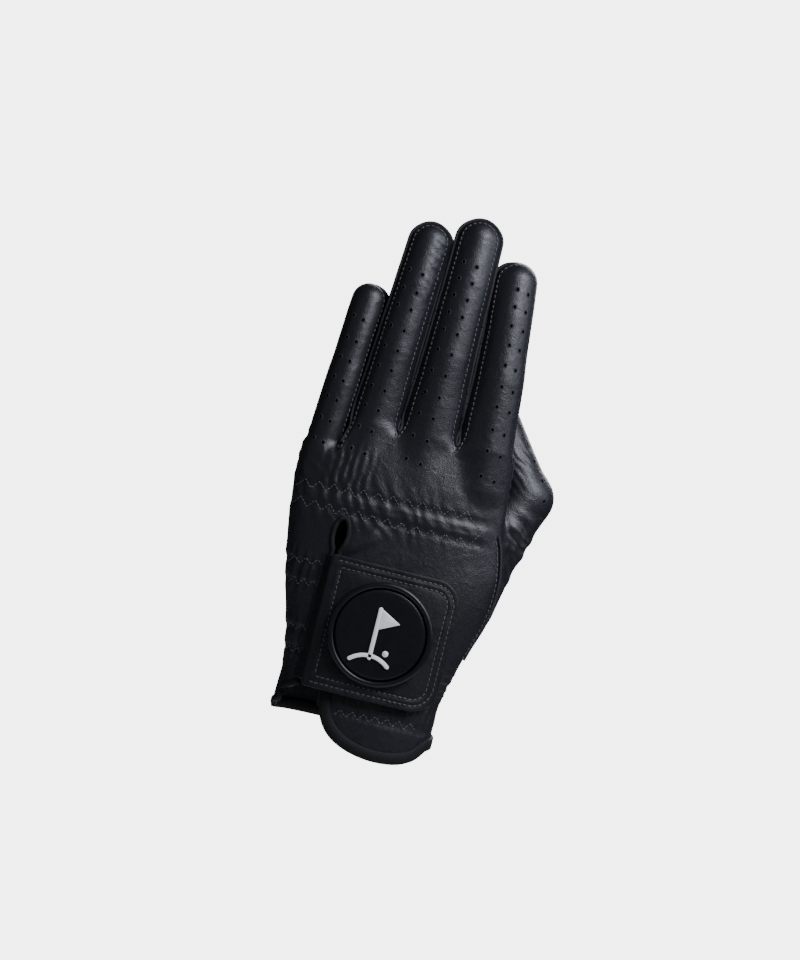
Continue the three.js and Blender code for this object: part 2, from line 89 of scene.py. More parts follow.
_z = np.arange(-12, 135.5, 0.5)
_kernel = np.exp(-0.5 * (np.arange(-24, 25) * 0.5 / 3.5) ** 2)
_kernel /= _kernel.sum()
_table = [np.convolve(np.pad(np.interp(_z, HAND[:, 0], HAND[:, i]), 24, mode="edge"), _kernel, "valid")
          for i in range(1, 5)]


def hand_at(z):
    return [np.interp(z, _z, column) for column in _table]


def hand_sdf(p):
    left, right, back, palm = hand_at(p[..., 2])
    x = np.abs(p[..., 0] - (left + right) / 2) / ((right - left) / 2)
    wide = (right - left) / 2
    deep = np.where(p[..., 1] < 0, -back, palm)
    y = np.abs(p[..., 1]) / deep
    n = 2.5
    q = np.maximum(x ** n + y ** n, 1e-4)
    slope = q ** (1 / n - 1) * np.hypot(x ** (n - 1) / wide, y ** (n - 1) / deep)
    side = (q ** (1 / n) - 1) / np.maximum(slope, 1e-3)
    top = 113.5 + 12.5 * smooth(-32, -25, p[..., 0])
    return smin_neg(side, p[..., 2] - top, 3.5)


def smin_neg(a, b, k):
    return -smin(-a, -b, k)


def cone(p, a, b, ra, rb):
    a, b = V(a, float), V(b, float)
    d = b - a
    t = np.clip(((p - a) @ d) / (d @ d), 0, 1)
    return np.linalg.norm(p - a - t[..., None] * d, axis=-1) - (ra + (rb - ra) * t)


def finger_sdf(p, name):
    crotch, middle, end, tip, r = FINGERS[name]
    crotch, middle = V(crotch, float), V(middle, float)
    start = crotch + (crotch - middle) / np.linalg.norm(crotch - middle) * 14
    f = np.minimum.reduce([cone(p, start, crotch, r[0] - 1.2, r[0]), cone(p, crotch, middle, r[0], r[1]),
                           cone(p, middle, end, r[1], r[2]), cone(p, end, tip, r[2], r[3])])
    for side, (low, high) in FULL_SIDES[name].items():
        shift = V([side * 2.6, 0, 0])
        f = smin(f, cone(p, crotch + shift, tip + shift, r[0] - 2.6 + low, r[3] - 2.6 + high), 0.8)
    return f


def thumb_sdf(p):
    root, knuckle, tip, r = THUMB
    return smin(cone(p, root, knuckle, r[0], r[1]), cone(p, knuckle, tip, r[1], r[2]), 3)


def shape(p):
    fingers = np.minimum.reduce([finger_sdf(p, name) for name in FINGERS])
    body = smin(hand_sdf(p), fingers, 4.0)
    thumb = thumb_sdf(p)
    blend = 9 * smooth(106, 90, p[..., 2]) + 0.4
    return smin(body, thumb, blend)


def gradient(f, p, h=0.25):
    g = np.stack([f(p + h * e) - f(p - h * e) for e in np.eye(3)], -1)
    return g / np.maximum(np.linalg.norm(g, axis=-1, keepdims=True), 1e-9)


def onto(f, p, rounds=4):
    for _ in range(rounds):
        p = p - gradient(f, p) * f(p)[..., None]
    return p


# ---- Noise and folds ---------------------------------------------------------------------------------

_random = np.random.default_rng(7)
_lattice = _random.uniform(-1, 1, (32, 32, 32))


def noise(p, size, offset=0.0):
    q = np.asarray(p) / size + offset
    i = np.floor(q).astype(int)
    f = q - i
    f = f * f * f * (f * (f * 6 - 15) + 10)
    out = 0
    for a in (0, 1):
        for b in (0, 1):
            for c in (0, 1):
                w = ((f[..., 0] if a else 1 - f[..., 0]) * (f[..., 1] if b else 1 - f[..., 1])
                     * (f[..., 2] if c else 1 - f[..., 2]))
                out = out + w * _lattice[(i[..., 0] + a) % 32, (i[..., 1] + b) % 32, (i[..., 2] + c) % 32]
    return out


def bump(x, centre, half):
    return smooth(1.6, 0.4, np.abs(x - centre) / half)


def gathers(x, z, pitch, seed, drift=0.0):
    """Folds that run along z: a wave in x whose phase wanders."""
    p = np.stack([x, 0 * x + seed, z], -1)
    phase = 2.6 * noise(p, 9.0, seed) + 0.9 * noise(p, 3.5, seed + 3)
    wave = np.cos(2 * math.pi * (x + drift * z) / pitch + phase)
    return 0.5 * wave + 0.35 * noise(p * V([1, 1, 0.3]), pitch * 0.45, seed + 5)


def folds(p):
    """How far the leather stands out from the smooth shape."""
    x, y, z = p[..., 0], p[..., 1], p[..., 2]
    back = smooth(4, -4, y)
    palm = 1 - back
    out = 0.20 * noise(p, 17.0) + 0.06 * noise(p, 6.0, 9)
    thumb = smooth(4, -2, thumb_sdf(p) - np.minimum(hand_sdf(p), 30)) * smooth(60, 80, z)
    body = 1 - thumb
    # The knuckle elastic: drawn in along two rows, puffed between them, with folds above and below.
    slant = 0.02 * (x + 5)
    left = smooth(34, -30, x)
    rows = bump(z, 98.6 + slant, 1.6) + bump(z, 91.0, 1.6)
    reach = smooth(118, 99, z) * smooth(74, 91, z) * smooth(44, 34, x)
    fade = np.where(z > 95, smooth(116, 98, z), smooth(78, 91, z))
    out = out + back * body * reach * ((0.08 + 0.27 * left) * gathers(x, z, 5.2, 1.7, 0.6) * fade
                                       - 0.24 * rows * smooth(38, 30, x))
    out = out + back * body * bump(z, 94.8, 2.6) * 0.26 * smooth(38, 30, x)
    # Elastics in the strip beside the slit.
    strip = back * smooth(-20, -24, x)
    for low, high, seed in ((60.5, 68.5, 4.1), (35, 43, 6.3)):
        inside = smooth(low - 7, low, z) * smooth(high + 7, high, z)
        out = out + strip * inside * (0.5 * gathers(x, z, 2.9, seed)
                                      - 0.4 * (bump(z, low, 1.3) + bump(z, high, 1.3)) + 0.25)
    # The cuff's elastic, which goes on round the thumb side.
    cuff = smooth(31, 22, z) * smooth(-11, -5, x)
    out = out + back * cuff * (0.24 * smooth(12, 17, z) * gathers(x, z, 2.5, 8.9)
                               - 0.26 * bump(z, 16.0, 1.8))
    side = smooth(24, 31, x) * smooth(25, 30, z) * smooth(44, 36, z)
    out = out + back * side * 0.45 * gathers(z, x, 3.0, 5.2)
    # Soft folds from the slit's top and down the strip.
    diagonal = (x + 15) * 0.55 + (z - 82) * -0.8
    out = out + back * 0.7 * bump(diagonal, 2.0, 2.2) * bump(x, -13, 6) * bump(z, 82, 9)
    # The thumb: deep folds over its root and fine ones along its inner side.
    q = (x - 47) * 0.5 + (z - 90) * 0.86
    root = smooth(17, 5, np.hypot(x - 47, (z - 92) * 0.9)) * smooth(24, 6, y)
    out = out + thumb * root * (0.65 * np.cos(q * 0.85 + 2.2 * noise(p, 9.0, 2)) + 0.3 * noise(p, 3.0, 4))
    inner = smooth(47, 41, x) * bump(z, 123, 9)
    out = out + thumb * inner * 0.26 * gathers(z, x, 3.4, 3.3, 0.8)
    # Finger joints: the leather folds on the palm side and eases on the back.
    for name, (crotch, middle, end, tip, r) in FINGERS.items():
        near = smooth(2.0, 0.2, finger_sdf(p, name))
        for joint, size in ((middle, 5.5), (end, 4.0)):
            dz = z - joint[2] - 0.02 * (x - joint[0])
            wave = np.cos(2 * math.pi * dz / 3.4 + 1.8 * noise(p, 7.0, joint[0]))
            inner_side = smooth(2.5, 8, y - joint[1])
            out = out + near * np.exp(-(dz / size) ** 2) * wave * (0.45 * inner_side + 0.02 * back)
    ring = (smooth(1.5, 0, finger_sdf(p, "ring")) * smooth(-15.5, -10, x)
            * smooth(172, 182, z) * smooth(208, 200, z))
    out = out + ring * (0.10 * np.cos((z + 0.6 * x) * 1.9 + 2 * noise(p, 5.0, 6)) + 0.16 * noise(p, 2.4, 8))
    web = smooth(98, 104, z) * smooth(120, 112, z) * bump(x, -25, 9)
    out = out + back * web * 0.4 * gathers(x, z, 3.2, 2.2)
    # The palm: creases under the fingers, across the hollow and at the wrist.
    under = palm * body * smooth(100, 108, z) * smooth(126, 116, z)
    out = out + under * 0.40 * np.cos(2 * math.pi * (z + 0.1 * x) / 4.6 + 2.2 * noise(p, 11.0, 12))
    wrist = palm * smooth(19, 25, z) * smooth(43, 35, z)
    out = out + wrist * (0.8 * gathers(x, z, 3.8, 7.7) - 0.4 * (bump(z, 26.5, 1.3) + bump(z, 33.5, 1.3)))
    life = np.hypot(x - 34, z - 60) - 40 + 3 * noise(p, 14.0, 14)
    out = out + palm * body * bump(z, 72, 26) * -0.8 * bump(life, 0, 1.5)
    return out * smooth(-2, 6, z + 8)


def skin(p, lift=0.0):
    """The leather's outer surface near p, moved out by lift, with its normal."""
    p = onto(shape, np.atleast_2d(p).astype(float))
    n = gradient(shape, p)
    return p + n * (folds(p) + lift)[..., None], n


# ---- Where each point belongs ------------------------------------------------------------------------

AXES = {}
for _name, (_c, _m, _e, _t, _r) in FINGERS.items():
    _d = V([_t[0] - _c[0], 0, _t[2] - _c[2]], float)
    AXES[_name] = (V(_m, float), V(_e, float), _d / np.linalg.norm(_d))
THUMB_WAY = [V(THUMB[1], float) - THUMB[0], V(THUMB[2], float) - THUMB[1]]
THUMB_WAY = [w / np.linalg.norm(w) for w in THUMB_WAY]
THUMB_ALONG = (THUMB_WAY[0] + THUMB_WAY[1]) / np.linalg.norm(THUMB_WAY[0] + THUMB_WAY[1])
REGIONS = ["hand"] + [f"{name}_{i}" for name in FINGERS for i in (1, 2)] + ["thumb_1"]


def region_of(p):
    """An index into REGIONS for each point of the skin."""
    p = np.atleast_2d(p)
    distance = np.stack([finger_sdf(p, name) for name in FINGERS] + [thumb_sdf(p)], -1)
    nearest = distance.argmin(-1)
    out = np.zeros(len(p), int)
    for i, name in enumerate(FINGERS):
        middle, end, along = AXES[name]
        s = (p - middle) @ along
        half = ((end - middle) @ along + ZONE[name][0] - ZONE[name][1]) / 2
        mine = (nearest == i) & (s > -BASE_CUT)
        out[mine & (s <= half)] = 1 + 2 * i
        out[mine & (s > half)] = 2 + 2 * i
    s = (p - V(THUMB[1])) @ THUMB_ALONG
    out[(nearest == 4) & (s > -THUMB_ZONE - 0.5) & (p[:, 1] > 5)] = len(REGIONS) - 1
    return out


def attach(obj, region):
    """Parents obj to the hand's or the tab's body; a finger or thumb piece only has its transform baked."""
    if region in ("hand", "tab"):
        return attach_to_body(obj, region)
    name, part = region.rsplit("_", 1)
    if name == "thumb":
        at, reach, bodies = V(THUMB[1], float), THUMB_ZONE, ("hand", "thumb_tip")
        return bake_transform(obj)
    middle, end, along = AXES[name]
    at, reach = (middle, ZONE[name][0]) if part == "1" else (end, ZONE[name][1])
    bodies = ("hand", f"{name}_middle") if part == "1" else (f"{name}_middle", f"{name}_tip")
    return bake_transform(obj)


# ---- Materials ---------------------------------------------------------------------------------------

def material(name, colour, roughness, build=None, **extra):
    m = bpy.data.materials.new(name)
    m.use_nodes = True
    shader = m.node_tree.nodes["Principled BSDF"]
    shader.inputs["Base Color"].default_value = (*colour, 1)
    shader.inputs["Roughness"].default_value = roughness
    for key, value in extra.items():
        shader.inputs[key.replace("_", " ")].default_value = value
    if build:
        build(m.node_tree, shader)
    return m


def node(tree, kind, inputs=None, **settings):
    made_node = tree.nodes.new(kind)
    for key, value in settings.items():
        setattr(made_node, key, value)
    for key, value in (inputs or {}).items():
        if isinstance(value, bpy.types.NodeSocket):
            tree.links.new(value, made_node.inputs[key])
        else:
            made_node.inputs[key].default_value = value
    return made_node


def position(tree):
    return node(tree, "ShaderNodeTexCoord").outputs["Object"]


def leather_nodes(dark, light, low, high, depth):
    def build(tree, shader):
        at = position(tree)
        pebbles = node(tree, "ShaderNodeTexVoronoi", {"Vector": at, "Scale": 1500.0},
                       feature="DISTANCE_TO_EDGE")
        cells = node(tree, "ShaderNodeMapRange", {"Value": pebbles.outputs["Distance"], "From Max": 0.35})
        fine = node(tree, "ShaderNodeTexNoise", {"Vector": at, "Scale": 3200.0, "Detail": 3.0})
        creases = node(tree, "ShaderNodeTexNoise",
                       {"Vector": at, "Scale": 260.0, "Detail": 4.0, "Distortion": 0.8})
        worn = node(tree, "ShaderNodeTexNoise", {"Vector": at, "Scale": 45.0, "Detail": 3.0})
        mix = node(tree, "ShaderNodeMix", {0: worn.outputs["Fac"], 6: (*dark, 1), 7: (*light, 1)},
                   data_type="RGBA")
        tree.links.new(mix.outputs[2], shader.inputs["Base Color"])
        sheen = node(tree, "ShaderNodeMapRange",
                     {"Value": creases.outputs["Fac"], "To Min": high, "To Max": low})
        tree.links.new(sheen.outputs[0], shader.inputs["Roughness"])
        first = node(tree, "ShaderNodeBump",
                     {"Height": cells.outputs[0], "Strength": 0.35, "Distance": 0.00012 * depth})
        second = node(tree, "ShaderNodeBump",
                      {"Height": fine.outputs["Fac"], "Strength": 0.3, "Distance": 0.00010 * depth,
                       "Normal": first.outputs[0]})
        third = node(tree, "ShaderNodeBump",
                     {"Height": creases.outputs["Fac"], "Strength": 0.45, "Distance": 0.0006 * depth,
                      "Normal": second.outputs[0]})
        tree.links.new(third.outputs[0], shader.inputs["Normal"])
    return build


def weave_nodes(pitch, depth):
    def build(tree, shader):
        at = position(tree)
        wave_a = node(tree, "ShaderNodeTexWave",
                      {"Vector": at, "Scale": 1000.0 / pitch / 6.283 * 2, "Distortion": 0.6},
                      bands_direction="X")
        wave_b = node(tree, "ShaderNodeTexWave",
                      {"Vector": at, "Scale": 1000.0 / pitch / 6.283 * 2, "Distortion": 0.6},
                      bands_direction="Z")
        both = node(tree, "ShaderNodeMath", {0: wave_a.outputs["Fac"], 1: wave_b.outputs["Fac"]},
                    operation="MULTIPLY")
        fuzz = node(tree, "ShaderNodeTexNoise", {"Vector": at, "Scale": 2600.0, "Detail": 2.0})
        height = node(tree, "ShaderNodeMath", {0: both.outputs[0], 1: fuzz.outputs["Fac"]}, operation="ADD")
        tilt = node(tree, "ShaderNodeBump",
                    {"Height": height.outputs[0], "Strength": 0.6, "Distance": depth})
        tree.links.new(tilt.outputs[0], shader.inputs["Normal"])
    return build


def fuzzy_nodes(size, depth):
    def build(tree, shader):
        at = position(tree)
        loops = node(tree, "ShaderNodeTexNoise",
                     {"Vector": at, "Scale": 1000.0 / size, "Detail": 4.0, "Distortion": 2.0})
        tilt = node(tree, "ShaderNodeBump",
                    {"Height": loops.outputs["Fac"], "Strength": 0.9, "Distance": depth})
        tree.links.new(tilt.outputs[0], shader.inputs["Normal"])
    return build


LEATHER = material("black_leather", (0.02, 0.02, 0.025), 0.42,
                   leather_nodes((0.0048, 0.0050, 0.0076), (0.0080, 0.0083, 0.0125), 0.36, 0.50, 0.8),
                   Specular_IOR_Level=0.42)
# A darker copy of the leather for the tab and its fold: painted shade for the dimmer light over the glove's
# lower part.
SHADED_TAB_LEATHER = material("tab_leather_painted_shade", (0.005, 0.005, 0.007), 0.5,
                       leather_nodes((0.0040, 0.0040, 0.0056), (0.0062, 0.0062, 0.0086), 0.42, 0.6, 1.0),
                       Specular_IOR_Level=0.3)
GUSSET = material("gusset_leather", (0.013, 0.013, 0.017), 0.5,
                  leather_nodes((0.0035, 0.0035, 0.005), (0.006, 0.006, 0.008), 0.45, 0.65, 0.8),
                  Specular_IOR_Level=0.3)
SUEDE = material("leather_inside", (0.006, 0.006, 0.007), 0.95, fuzzy_nodes(0.35, 0.0002))
EDGE = material("cut_edge", (0.0075, 0.0075, 0.0100), 0.75, fuzzy_nodes(0.25, 0.0001))
THREAD = material("sewing_thread", (0.034, 0.035, 0.042), 0.45, fuzzy_nodes(0.12, 0.00004),
                  Sheen_Weight=0.3)
TAPE = material("binding_tape", (0.0038, 0.0038, 0.0048), 0.7, weave_nodes(0.45, 0.00008),
                Specular_IOR_Level=0.25)
ELASTIC = material("woven_elastic", (0.010, 0.010, 0.012), 0.8, weave_nodes(0.7, 0.0001))
HOOKS = material("hook_pad", (0.006, 0.006, 0.008), 0.6, weave_nodes(1.1, 0.0005))
LOOPS = material("loop_pad", (0.007, 0.007, 0.008), 1.0, fuzzy_nodes(0.8, 0.0006))
RUBBER = material("badge_rubber", (0.0075, 0.0085, 0.011), 0.36, leather_nodes(
    (0.0030, 0.0036, 0.0048), (0.0045, 0.0052, 0.0068), 0.30, 0.42, 0.25), Specular_IOR_Level=0.35)
# A dark, unlit disc closes each ventilation hole: painted shade for the shaded inside of the glove.
HOLE_SHADE = material("hole_painted_shade", (0.0015, 0.0015, 0.002), 1.0, fuzzy_nodes(0.4, 0.00002),
                Specular_IOR_Level=0.0)
WHITE = material("badge_white", (0.86, 0.85, 0.82), 0.35, fuzzy_nodes(0.5, 0.00002))

# ---- Meshes ------------------------------------------------------------------------------------------

def made(name, points, faces, materials, indices=None, normals=None):
    mesh = bpy.data.meshes.new(name)
    mesh.from_pydata((np.asarray(points) / 1000).tolist(), [], [list(map(int, f)) for f in faces])
    for m in materials:
        mesh.materials.append(m)
    mesh.polygons.foreach_set("use_smooth", np.ones(len(mesh.polygons), bool))
    if indices is not None:
        mesh.polygons.foreach_set("material_index", np.asarray(indices, np.int32))
    mesh.update()
    if normals is not None:
        mesh.normals_split_custom_set_from_vertices(np.asarray(normals).tolist())
    obj = bpy.data.objects.new(name, mesh)
    bpy.context.scene.collection.objects.link(obj)
    return obj


def surface_nets(f, low, step):
    """Quads round the zero level of a grid of distances."""
    size = V(f.shape) - 1
    total = np.zeros((*size, 3), np.float32)
    count = np.zeros(size, np.float32)
    for axis in range(3):
        b, c = (axis + 1) % 3, (axis + 2) % 3
        for u in (0, 1):
            for v in (0, 1):
                o = [0, 0, 0]
                o[b], o[c] = u, v
                start = tuple(slice(o[t], o[t] + size[t]) for t in range(3))
                o[axis] += 1
                stop = tuple(slice(o[t], o[t] + size[t]) for t in range(3))
                f0, f1 = f[start], f[stop]
                crossing = (f0 < 0) != (f1 < 0)
                t = np.where(crossing, f0 / np.where(crossing, f0 - f1, 1), 0)
                total[..., axis] += t
                total[..., b] += crossing * u
                total[..., c] += crossing * v
                count += crossing
    active = count > 0
    index = np.full(count.shape, -1)
    index[active] = np.arange(active.sum())
    cells = np.argwhere(active)
    points = low + step * (cells + total[active] / count[active][:, None])
    quads = []
    for axis in range(3):
        b, c = (axis + 1) % 3, (axis + 2) % 3
        first = [slice(1, s) for s in size]
        first[axis] = slice(0, size[axis])
        second = list(first)
        second[axis] = slice(1, size[axis] + 1)
        inside, after = f[tuple(first)] < 0, f[tuple(second)] < 0
        at = np.argwhere(inside != after)
        flip = ~inside[inside != after]
        at = at + [0 if t == axis else 1 for t in range(3)]
        around = []
        for db, dc in ((1, 1), (0, 1), (0, 0), (1, 0)):
            q = at.copy()
            q[:, b] -= db
            q[:, c] -= dc
            around.append(index[q[:, 0], q[:, 1], q[:, 2]])
        around = np.stack(around, -1)
        around[flip] = around[flip][:, ::-1]
        quads.append(around)
    return points, np.concatenate(quads)


def grid_of(f, low, high, step):
    axes = [np.arange(a, b + step, step) for a, b in zip(low, high)]
    values = np.empty([len(a) for a in axes], np.float32)
    for start in range(0, len(axes[2]), 24):
        block = np.stack(np.meshgrid(axes[0], axes[1], axes[2][start:start + 24], indexing="ij"), -1)
        values[:, :, start:start + 24] = f(block)
    return values


# The slit, its keyhole and the hems, as a distance that is negative where leather is cut away.
SLIT_LEFT, SLIT_TOP = -22.3, 76.0
HEM_BACK = V([[-13.8, 26], [-12.6, 14], [-8, 6.5], [0, 2], [11, 0], [22, 1.2], [30, 6], [34, 12]], float)
HEM_STRIP = V([[-36, 15.2], [-30, 17.8], [-26, 20.6], [-20, 22.4]], float)
HEM_PALM = 10.0


def spline(points, step=1.0):
    """A Catmull-Rom curve through points, sampled about every step."""
    p = np.asarray(points, float)
    p = np.vstack([2 * p[0] - p[1], p, 2 * p[-1] - p[-2]])
    out = []
    for i in range(1, len(p) - 2):
        n = max(2, int(np.linalg.norm(p[i + 1] - p[i]) / step))
        for t in np.arange(n) / n:
            out.append(0.5 * (2 * p[i] + (p[i + 1] - p[i - 1]) * t
                              + (2 * p[i - 1] - 5 * p[i] + 4 * p[i + 1] - p[i + 2]) * t * t
                              + (3 * p[i] - p[i - 1] - 3 * p[i + 1] + p[i + 2]) * t ** 3))
    return V(out + [p[-2]])


def evenly(points, step):
    p = np.asarray(points, float)
    lengths = np.r_[0, np.cumsum(np.linalg.norm(np.diff(p, axis=0), axis=1))]
    n = max(2, int(round(lengths[-1] / step)) + 1)
    at = np.linspace(0, lengths[-1], n)
    return np.stack([np.interp(at, lengths, p[:, i]) for i in range(p.shape[1])], -1)


_hem_back = spline(HEM_BACK, 0.5)
_hem_strip = spline(HEM_STRIP, 0.5)


def slit_right(z):
    return SLIT_LEFT + 1.8 + (SLIT_TOP - z) * (10.0 - 1.8) / (SLIT_TOP + 5)


def cut(p):
    x, y, z = p[..., 0], p[..., 1], p[..., 2]
    right = (z - np.interp(x, *_hem_back[np.argsort(_hem_back[:, 0])].T)) * 0.8
    right = np.where(x < -13.6, 20.0, right)
    strip = z - np.interp(x, *_hem_strip.T)
    slit = np.maximum(np.abs(x - (SLIT_LEFT + slit_right(z)) / 2) - (slit_right(z) - SLIT_LEFT) / 2,
                      z - SLIT_TOP)
    slit = np.minimum(slit, (np.hypot((x + 21.2) / 2.4, (z - 82) / 6) - 1) * 2.4)
    hem = np.where(x < SLIT_LEFT, strip, right)
    hem = hem + (z - HEM_PALM - hem) * smooth(-12, 0, y)
    return np.where(y < 0, np.minimum(hem, slit), hem)


def trimmed(points, faces, f):
    """Leaves out faces where f is negative and draws their raw edge onto f = 0."""
    value = f(points)
    keep = (value[faces] > 0).all(1)
    faces = faces[keep]
    used = np.unique(faces)
    edges = np.sort(np.concatenate([faces[:, [i, (i + 1) % 4]] for i in range(4)]), 1)
    unique, count = np.unique(edges, axis=0, return_counts=True)
    rim = np.unique(unique[count == 1])
    near = rim[np.abs(value[rim]) < 2.5]
    h = 0.2
    slope = np.stack([f(points[near] + h * e) - f(points[near] - h * e) for e in np.eye(3)], -1) / (2 * h)
    slope[:, 1] = 0
    size = np.maximum((slope ** 2).sum(1), 0.2)
    points = points.copy()
    points[near] -= slope * (value[near] / size)[:, None]
    index = np.full(len(points), -1)
    index[used] = np.arange(len(used))
    return points[used], index[faces], used


def leather():
    low, high = V([-48.0, -20, -4]), V([60.0, 34, 218])
    values = grid_of(shape, low, high, STEP)
    points, quads = surface_nets(values, low, STEP)
    points = onto(shape, points, 2)
    points, quads, _ = trimmed(points, quads, cut)
    outer, _ = skin(points)
    return outer, quads


def vertex_normals(points, faces):
    a, b, c, d = (points[faces[:, i]] for i in range(4))
    n = np.cross(c - a, d - b)
    out = np.zeros_like(points)
    for i in range(4):
        np.add.at(out, faces[:, i], n)
    return out / np.maximum(np.linalg.norm(out, axis=1, keepdims=True), 1e-12)


outer, quads = leather()
normals = vertex_normals(outer, quads)

REPLACED = {"hand": ["back_panel", "palm_panel", "slit_binding", "back_hem_binding", "strip_hem_binding",
                     "palm_hem_binding",
                     "side_seam_piping", "thumb_lower_sleeve"]}
SIDES = {"index": ["outer"], "middle": ["outer", "inner"], "ring": ["outer", "inner"], "little": ["inner"]}
for _name, _sides in SIDES.items():
    REPLACED[f"{_name}_1"] = ([f"{_name}_base_sleeve", f"{_name}_middle_crease"]
                              + [f"{_name}_base_gusset_{s}" for s in _sides])
    REPLACED[f"{_name}_2"] = ([f"{_name}_middle_sleeve", f"{_name}_end_crease", f"{_name}_tip_sleeve"]
                              + [f"{_name}_middle_gusset_{s}" for s in _sides])
REPLACED["thumb_1"] = ["thumb_knuckle_crease", "thumb_tip_sleeve"]
SLOTS = {"hand": "back_panel", "thumb_1": "thumb_tip_sleeve", "tab": "tab_leather"}
for _name in FINGERS:
    SLOTS[f"{_name}_1"], SLOTS[f"{_name}_2"] = f"{_name}_base_sleeve", f"{_name}_middle_sleeve"


def gusset_faces(points, faces):
    """1 for faces of the side strips between fingers, 0 for the rest."""
    centre = points[faces].mean(1)
    out = np.zeros(len(faces), int)
    for name, sides in SIDES.items():
        crotch, middle, end, tip, r = FINGERS[name]
        t = np.interp(centre[:, 2], [crotch[2], middle[2], end[2], tip[2]], [0, 1, 2, 3])
        axis = np.stack([np.interp(t, range(4), [q[i] for q in (crotch, middle, end, tip)])
                         for i in (0, 1)], -1)
        angle = np.degrees(np.arctan2(centre[:, 1] - axis[:, 1], np.abs(centre[:, 0] - axis[:, 0])))
        near = ((finger_sdf(centre, name) < 2) & (centre[:, 2] > crotch[2] - 1)
                & (angle > -14) & (angle < 27))
        for s in sides:
            sign = -1 if s == "outer" else 1
            out[near & (np.sign(centre[:, 0] - axis[:, 0]) == sign) & (centre[:, 2] < tip[2] + 4)] = 1
    return out


regions = region_of(outer[quads].mean(1))
strips = gusset_faces(outer, quads)
for i, region in enumerate(REGIONS):
    mine = quads[regions == i]
    used, inverse = np.unique(mine, return_inverse=True)
    piece = made(f"leather_{region}", outer[used], inverse.reshape(mine.shape), [LEATHER, GUSSET],
                 strips[regions == i], normals[used])
    attach(piece, region)
    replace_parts(piece, *REPLACED[region])

# The leather's inside, seen through the cuff.
low_quads = quads[(regions == 0) & (outer[quads][:, :, 2].max(1) < 80)]
used, inverse = np.unique(low_quads, return_inverse=True)
inside = made("leather_inside", outer[used] - normals[used] * 1.0,
              inverse.reshape(low_quads.shape)[:, ::-1], [SUEDE])
attach(inside, "hand")

# ---- Seams, stitches, tapes and holes: gathered for each region, then made as one object -------------

BINS = {}
DETAIL_MATERIALS = [EDGE, THREAD, TAPE, HOLE_SHADE]
AN_EDGE, A_THREAD, A_TAPE, A_HOLE_SHADE = range(4)


def put(region, points, faces, kind):
    bin_ = BINS.setdefault(region, {"points": [], "faces": [], "kinds": [], "count": 0})
    bin_["points"].append(points)
    bin_["faces"] += [[v + bin_["count"] for v in face] for face in faces]
    bin_["kinds"] += [kind] * len(faces)
    bin_["count"] += len(points)


def directions(path, normals_):
    """Along, sideways and out at each point of a path."""
    along = np.gradient(path, axis=0)
    along /= np.maximum(np.linalg.norm(along, axis=1, keepdims=True), 1e-9)
    side = np.cross(along, normals_)
    side /= np.maximum(np.linalg.norm(side, axis=1, keepdims=True), 1e-9)
    return along, side, np.cross(side, along)


def swept(path, normals_, section, kind, regions_=None):
    """A strip along a path; its section (sideways, out) may be a function of the share along it."""
    _, side, out = directions(path, normals_)
    shares = np.linspace(0, 1, len(path))
    sections = V([section(s) if callable(section) else section for s in shares], float)
    rings = path[:, None] + sections[..., :1] * side[:, None] + sections[..., 1:] * out[:, None]
    m = sections.shape[1]
    where = regions_ if regions_ is not None else np.zeros(len(path), int)
    start = 0
    while start < len(path) - 1:
        stop = start + 1
        while stop < len(path) - 1 and where[stop] == where[start]:
            stop += 1
        part = rings[start:stop + 1].reshape(-1, 3)
        count = stop + 1 - start
        faces = [[i * m + j, i * m + (j + 1) % m, (i + 1) * m + (j + 1) % m, (i + 1) * m + j]
                 for i in range(count - 1) for j in range(m)]
        faces += [list(range(m))[::-1], [(count - 1) * m + j for j in range(m)]]
        region = where[start] if isinstance(where[start], str) else REGIONS[where[start]]
        put(region, part, faces, kind)
        start = stop


def bead(long, wide, high, around=8, rings=5):
    points, faces = [], []
    for i in range(1, rings):
        a = math.pi * i / rings
        grow = math.sin(a) ** 0.6
        for j in range(around):
            b = 2 * math.pi * j / around
            points.append([-long / 2 * math.cos(a), wide / 2 * grow * math.cos(b),
                           high / 2 * grow * math.sin(b)])
    first, last = len(points), len(points) + 1
    points += [[-long / 2, 0, 0], [long / 2, 0, 0]]
    for i in range(rings - 2):
        for j in range(around):
            k = (j + 1) % around
            faces.append([i * around + j, i * around + k, (i + 1) * around + k, (i + 1) * around + j])
    for j in range(around):
        k = (j + 1) % around
        faces.append([first, k, j])
        faces.append([last, (rings - 2) * around + j, (rings - 2) * around + k])
    return V(points, float), faces


STITCH, STITCH_FACES = bead(1.55, 0.52, 0.42)


def stitched(path, normals_, pitch=2.0, length=1.5, regions_=None, scale=1.0):
    lengths = np.r_[0, np.cumsum(np.linalg.norm(np.diff(path, axis=0), axis=1))]
    n = max(1, int(lengths[-1] / pitch))
    at = (np.arange(n) + 0.5) * lengths[-1] / n
    centre = np.stack([np.interp(at, lengths, path[:, i]) for i in range(3)], -1)
    normal = np.stack([np.interp(at, lengths, normals_[:, i]) for i in range(3)], -1)
    before = np.stack([np.interp(at - length / 2, lengths, path[:, i]) for i in range(3)], -1)
    after = np.stack([np.interp(at + length / 2, lengths, path[:, i]) for i in range(3)], -1)
    along = after - before
    along /= np.maximum(np.linalg.norm(along, axis=1, keepdims=True), 1e-9)
    side = np.cross(normal, along)
    side /= np.maximum(np.linalg.norm(side, axis=1, keepdims=True), 1e-9)
    out = np.cross(along, side)
    where = regions_ if regions_ is not None else [REGIONS[r] for r in region_of(centre)]
    for i in range(n):
        basis = np.stack([along[i] * length / 1.55, side[i] * scale, out[i] * scale])
        region = where if isinstance(where, str) else where[i]
        put(region, centre[i] + STITCH @ basis, STITCH_FACES, A_THREAD)


